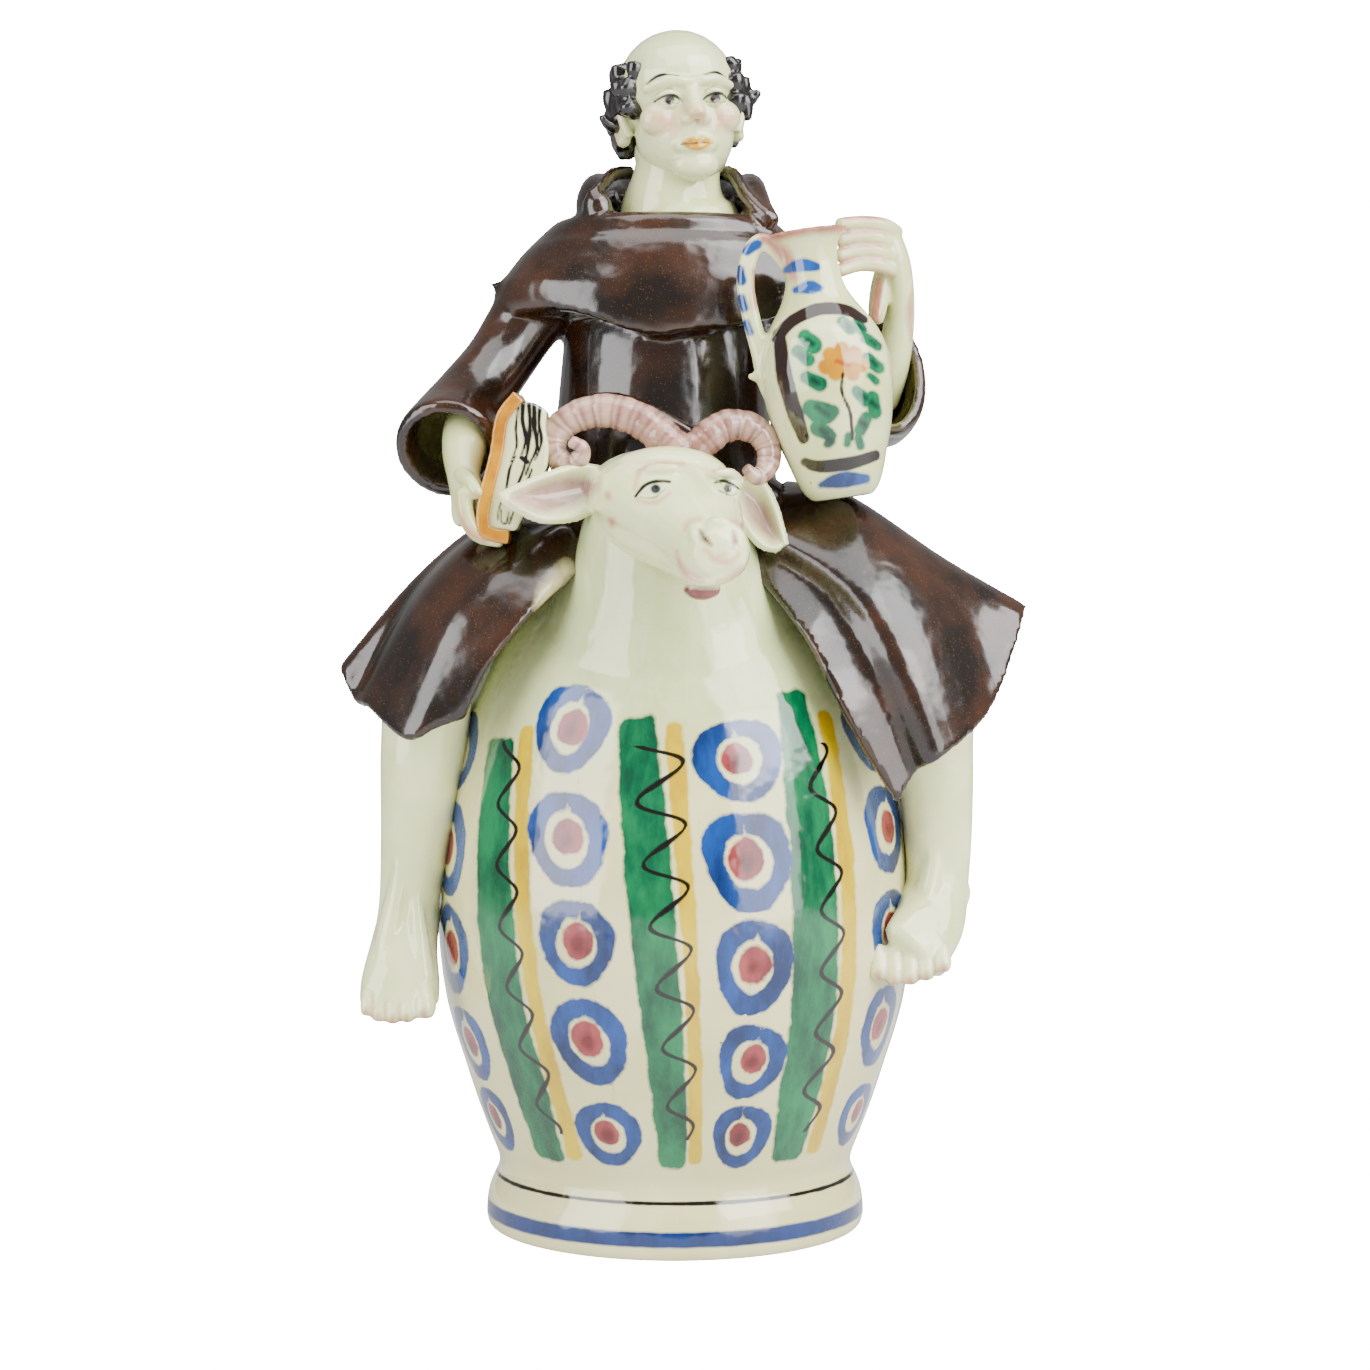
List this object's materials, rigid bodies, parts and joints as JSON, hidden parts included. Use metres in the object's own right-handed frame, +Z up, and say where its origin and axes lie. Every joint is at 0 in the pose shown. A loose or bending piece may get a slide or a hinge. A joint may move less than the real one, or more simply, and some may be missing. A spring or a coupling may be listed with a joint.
{
  "type": "ceramic vase",
  "caption": "Glazed figural vase: a footed ovoid jar whose shoulder rises into a ram's head, ridden by a robed friar who holds a book and a small jug.",
  "frame": {"origin": "centre of the jar's foot on the surface it stands on", "axes": "+Z up along the thrown jar's turning axis, -Y the way the ram looks, +X towards the rider's hand with the jug"},
  "size_m": [0.2251, 0.1799, 0.4],
  "materials": {
    "tin_glaze": "gloss"
  },
  "bodies": {
    "root": {"ceramic_vase": "tin_glaze"}
  },
  "joints": []
}
